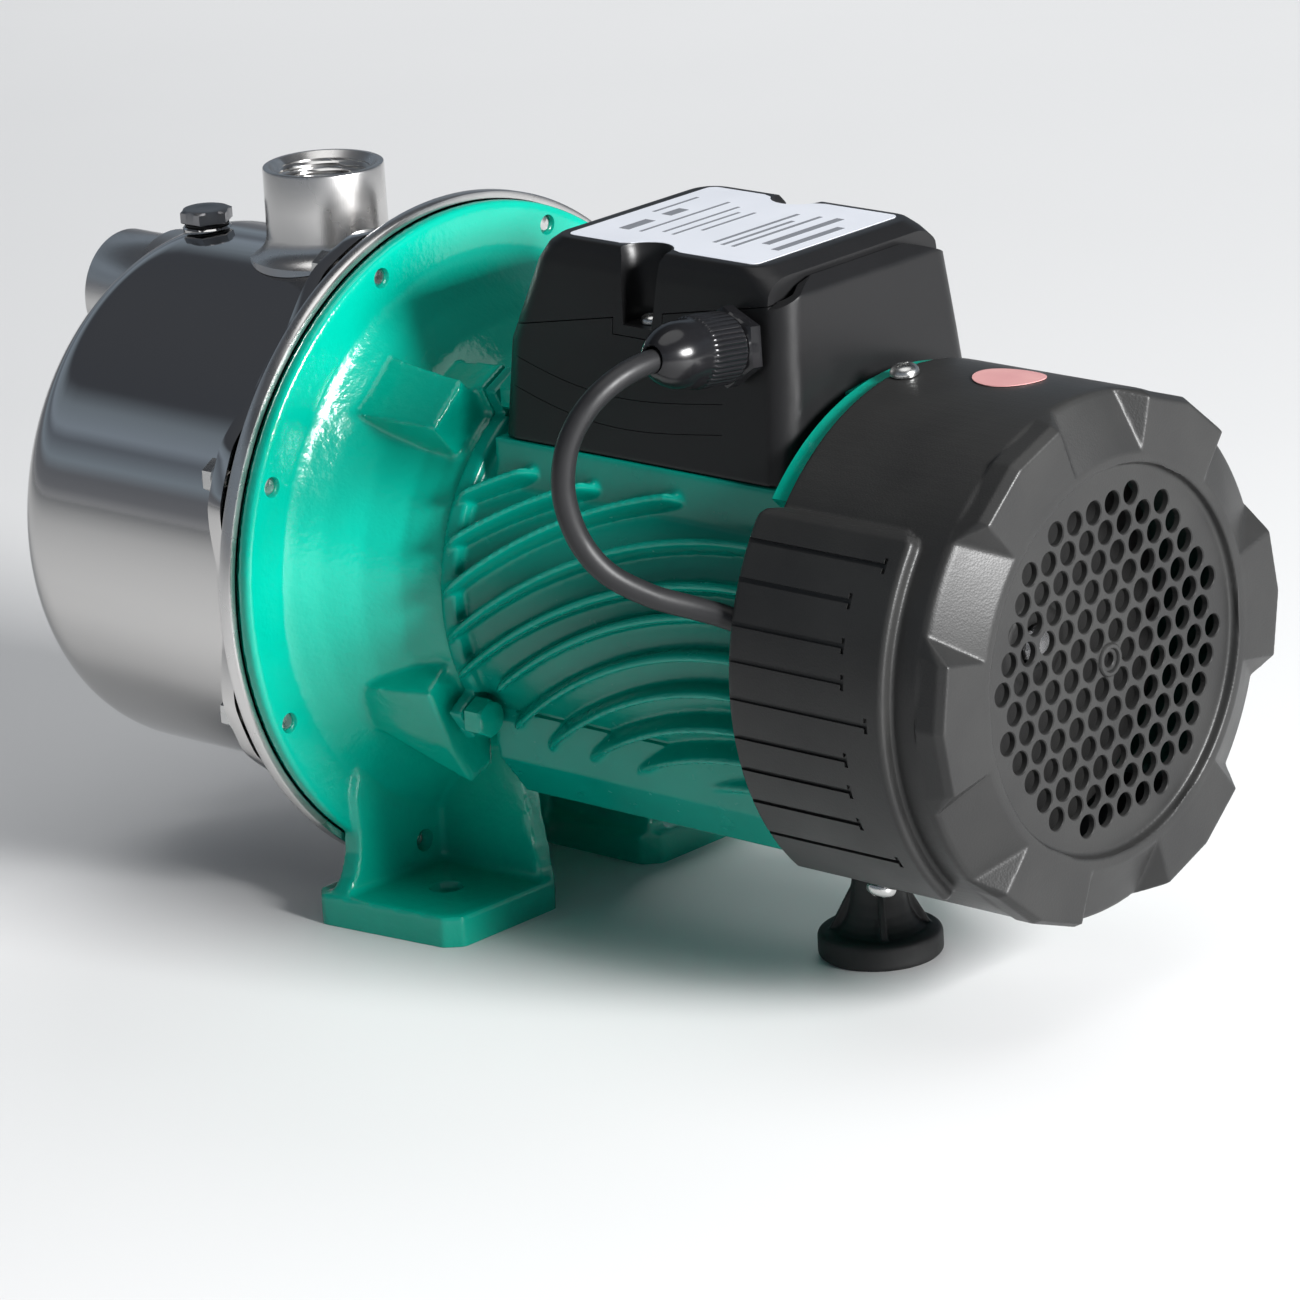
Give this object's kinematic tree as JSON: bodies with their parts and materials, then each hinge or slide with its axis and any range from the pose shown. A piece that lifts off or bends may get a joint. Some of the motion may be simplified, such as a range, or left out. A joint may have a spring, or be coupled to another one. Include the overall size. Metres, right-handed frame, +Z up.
{
  "type": "shallow well jet pump",
  "caption": "Shallow-well jet pump: polished casing with threaded ports, cast bracket with feet, finned motor, terminal box, fan cover and supply cord.",
  "frame": {"origin": "on the floor, at the middle of the pump's length and width", "axes": "+X along the shaft from the suction port to the fan cover, +Z up, the cable gland is on the -Y side"},
  "size_m": [0.4024, 0.3379, 0.2221],
  "materials": {
    "stainless": "mirror-polished stainless sheet",
    "green_paint": "glossy teal-green enamel with a slight orange peel",
    "green_enamel": "glossy teal-green enamel on cast aluminium",
    "black_plastic": "satin, fine texture",
    "rubber": "matt",
    "zinc_steel": "zinc plated",
    "bearing_steel": "ground",
    "laminations": "stacked electrical sheet",
    "copper_winding": "enamelled copper, lacquered",
    "engineering_plastic": "glass-filled moulding",
    "brass": "machined",
    "label_white": "printed film",
    "sticker_pink": "paper sticker",
    "ceramic": "ground ceramic",
    "capacitor_case": "moulded case",
    "cord_black": "slight sheen"
  },
  "bodies": {
    "pump": {"capacitor": "capacitor_case", "casing_clamp_ring": "stainless", "casing_screw_1": "zinc_steel", "casing_screw_2": "zinc_steel", "casing_screw_3": "zinc_steel", "casing_screw_4": "zinc_steel", "casing_screw_5": "zinc_steel", "casing_screw_6": "zinc_steel", "casing_screw_7": "zinc_steel", "casing_screw_8": "zinc_steel", "casing_seal": "rubber", "cord_coil": "cord_black", "cord_tie": "black_plastic", "diffuser": "engineering_plastic", "drain_plug_seal": "rubber", "fan_cover": "black_plastic", "fan_cover_screw_1": "zinc_steel", "fan_cover_screw_2": "zinc_steel", "front_bearing_outer": "bearing_steel", "gland_body": "black_plastic", "gland_nut": "black_plastic", "housing_bolt_1": "green_paint", "housing_bolt_2": "green_paint", "housing_bolt_3": "green_paint", "housing_bolt_4": "green_paint", "jet_nozzle": "engineering_plastic", "lid_screw_1": "zinc_steel", "lid_screw_2": "zinc_steel", "motor_bracket": "green_paint", "motor_housing": "green_enamel", "outlet_socket": "stainless", "plug": "black_plastic", "power_cord": "cord_black", "priming_plug_seal": "rubber", "pump_casing": "stainless", "rating_label": "label_white", "rear_bearing_outer": "bearing_steel", "rear_end_shield": "green_enamel", "rear_foot": "rubber", "rear_foot_stud": "zinc_steel", "round_sticker": "sticker_pink", "seal_stationary": "ceramic", "stator_core": "laminations", "suction_socket": "stainless", "terminal_block": "engineering_plastic", "terminal_box_base": "black_plastic", "terminal_box_lid": "black_plastic", "venturi_tube": "engineering_plastic", "winding_front": "copper_winding", "winding_rear": "copper_winding"},
    "rotor": {"shaft": "bearing_steel", "rotor_core": "laminations", "impeller": "brass", "impeller_nut": "zinc_steel", "seal_rotating": "rubber", "front_bearing_inner": "bearing_steel", "rear_bearing_inner": "bearing_steel", "fan": "black_plastic"},
    "priming_plug_body": {"priming_plug": "stainless"},
    "drain_plug_body": {"drain_plug": "stainless"}
  },
  "joints": [
    {"name": "rotor_spin", "type": "hinge", "parent": "pump", "child": "rotor", "pos_m": [0, 0, 0.108], "axis": [1, 0, 0], "continuous": true},
    {"name": "priming_plug_pull", "type": "slide", "parent": "pump", "child": "priming_plug_body", "axis": [0, 0, 1], "range_m": [0, 0.025]},
    {"name": "drain_plug_pull", "type": "slide", "parent": "pump", "child": "drain_plug_body", "axis": [-1, 0, 0], "range_m": [0, 0.025]}
  ]
}
